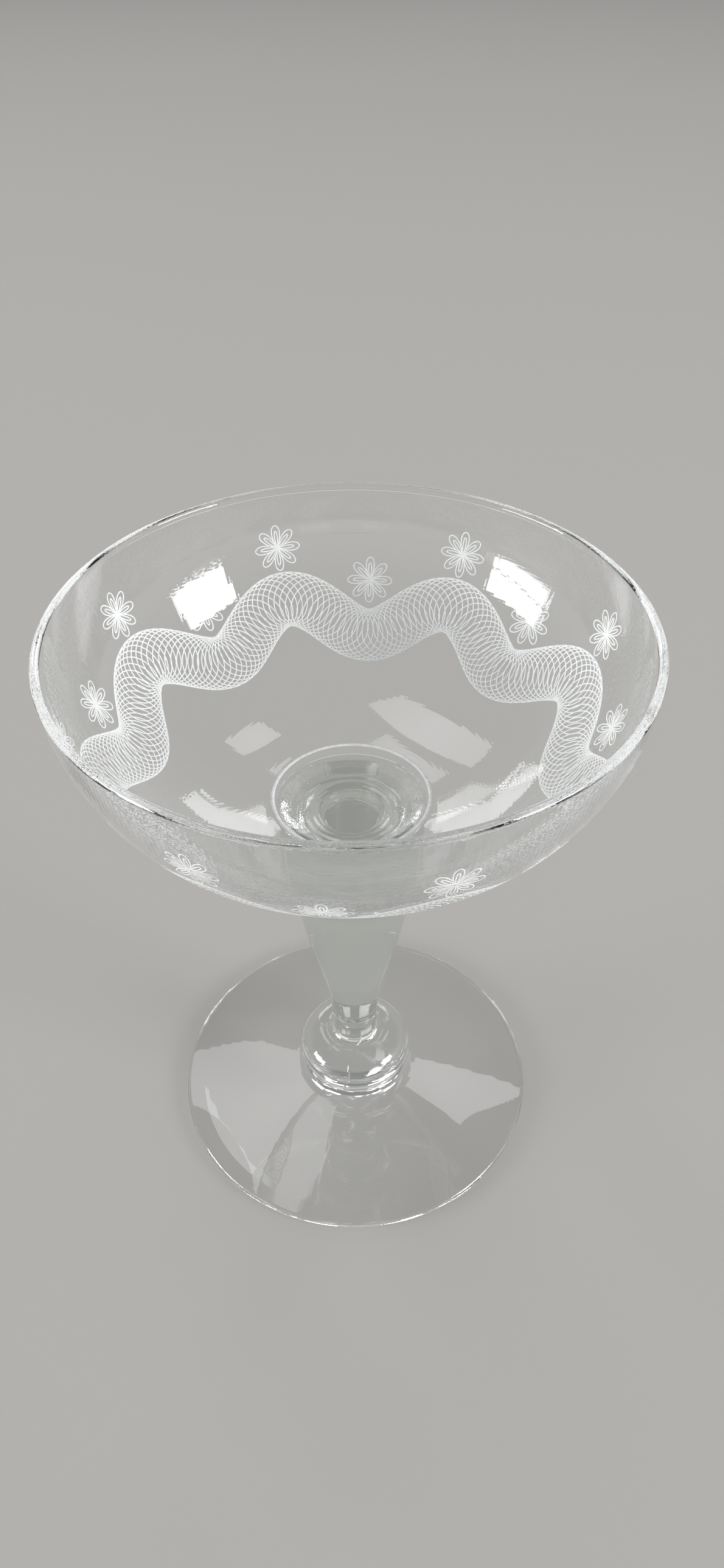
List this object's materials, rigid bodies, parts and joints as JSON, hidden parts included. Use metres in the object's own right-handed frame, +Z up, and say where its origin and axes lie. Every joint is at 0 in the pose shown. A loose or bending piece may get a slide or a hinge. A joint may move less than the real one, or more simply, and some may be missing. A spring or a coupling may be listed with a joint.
{
  "type": "champagne coupe glass",
  "caption": "Stemmed coupe glass with a wide shallow engraved bowl, a pit over its solid flared stem, a round knop and a flat conical foot, for serving drinks.",
  "frame": {"origin": "centre of the foot's underside, on the table", "axes": "+Z up along the stem's axis, towards the rim; the picture looks along +Y and down"},
  "size_m": [0.096, 0.096, 0.116],
  "materials": {
    "clear_glass": "fire-polished clear glass with a faint grey-green tint",
    "engraved_glass": "fine frosted lines engraved in the bowl's outside"
  },
  "bodies": {
    "root": {"foot": "clear_glass", "knop": "clear_glass", "stem": "clear_glass", "bowl": "clear_glass"}
  },
  "joints": []
}
